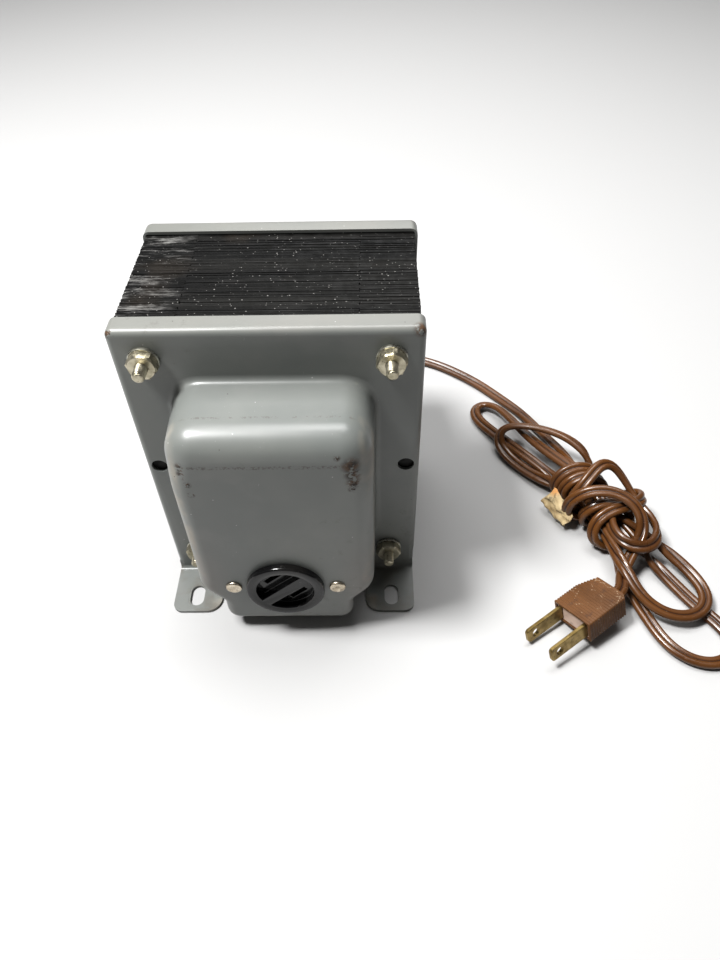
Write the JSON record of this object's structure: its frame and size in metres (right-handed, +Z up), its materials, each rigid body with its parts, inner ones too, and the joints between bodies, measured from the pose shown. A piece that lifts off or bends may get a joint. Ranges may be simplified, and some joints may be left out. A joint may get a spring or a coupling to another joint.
{
  "type": "enclosed step-down autotransformer",
  "caption": "Fixed-ratio autotransformer: laminated core between two drawn grey end bells with feet, a receptacle, and a flat brown cord with a plug.",
  "frame": {"origin": "on the floor, under the middle of the case; the free cord and its plug are not counted", "axes": "+X to the viewer's right when facing the receptacle, +Y to the cord side, +Z up"},
  "size_m": [0.2229, 0.2004, 0.1217],
  "materials": {
    "grey_enamel": "semi-gloss baked enamel over drawn steel sheet",
    "varnished_laminations": "black varnish over stacked steel sheets",
    "zinc_plate": "aged yellowish zinc plate",
    "bright_washer": "plated flat washer",
    "black_bakelite": "polished black moulding",
    "grey_fibre": "pressed fibre board",
    "dull_brass": "dull, handled",
    "nickel_rivet": "nickel plate, warm with age",
    "strap_steel": "plain stamped steel",
    "enamelled_copper": null,
    "kraft_paper": "varnished paper",
    "form_board": "pressed board",
    "brown_cord_vinyl": "smooth brown vinyl",
    "brown_plug_plastic": "ribbed brown moulding, satin",
    "pale_insert_plastic": "pale pinkish-beige moulding",
    "masking_tape": "crumpled paper tape",
    "splice_cap_plastic": "closed-end splice cap",
    "black_nylon": "moulded nylon",
    "white_lead_insulation": "lead wire insulation",
    "red_lead_insulation": "lead wire insulation",
    "black_lead_insulation": "lead wire insulation"
  },
  "bodies": {
    "unit": {"coil_form": "form_board", "coil_wrap": "kraft_paper", "common_winding": "enamelled_copper", "cord_bushing": "black_nylon", "cord_conductor_common": "brown_cord_vinyl", "cord_conductor_line": "brown_cord_vinyl", "cord_hank": "brown_cord_vinyl", "cord_lead": "brown_cord_vinyl", "cord_tail": "brown_cord_vinyl", "e_laminations_1": "varnished_laminations", "e_laminations_2": "varnished_laminations", "e_laminations_3": "varnished_laminations", "e_laminations_4": "varnished_laminations", "front_end_bell": "grey_enamel", "front_washer_1": "bright_washer", "front_washer_2": "bright_washer", "front_washer_3": "bright_washer", "front_washer_4": "bright_washer", "hex_nut_1": "zinc_plate", "hex_nut_2": "zinc_plate", "hex_nut_3": "zinc_plate", "hex_nut_4": "zinc_plate", "i_laminations_1": "varnished_laminations", "i_laminations_2": "varnished_laminations", "i_laminations_3": "varnished_laminations", "i_laminations_4": "varnished_laminations", "input_lead_common": "white_lead_insulation", "input_lead_line": "black_lead_insulation", "layer_insulation": "kraft_paper", "output_lead_common": "white_lead_insulation", "output_lead_tap": "red_lead_insulation", "plug_shell": "brown_plug_plastic", "rear_end_bell": "grey_enamel", "rear_washer_1": "bright_washer", "rear_washer_2": "bright_washer", "rear_washer_3": "bright_washer", "rear_washer_4": "bright_washer", "receptacle_back": "grey_fibre", "receptacle_body": "black_bakelite", "receptacle_contact_lower": "dull_brass", "receptacle_contact_upper": "dull_brass", "receptacle_rivet_left": "nickel_rivet", "receptacle_rivet_right": "nickel_rivet", "receptacle_strap": "strap_steel", "series_winding": "enamelled_copper", "splice_cap_common": "splice_cap_plastic", "splice_cap_line": "splice_cap_plastic", "tape_tag": "masking_tape", "through_bolt_1": "zinc_plate", "through_bolt_2": "zinc_plate", "through_bolt_3": "zinc_plate", "through_bolt_4": "zinc_plate"},
    "plug_slider": {"plug_insert": "pale_insert_plastic", "plug_blade_left": "dull_brass", "plug_blade_right": "dull_brass"}
  },
  "joints": [
    {"name": "plug_insert_slide", "type": "slide", "parent": "unit", "child": "plug_slider", "axis": [-0.818, -0.5685, -0.0872], "range_m": [0, 0.012]}
  ]
}
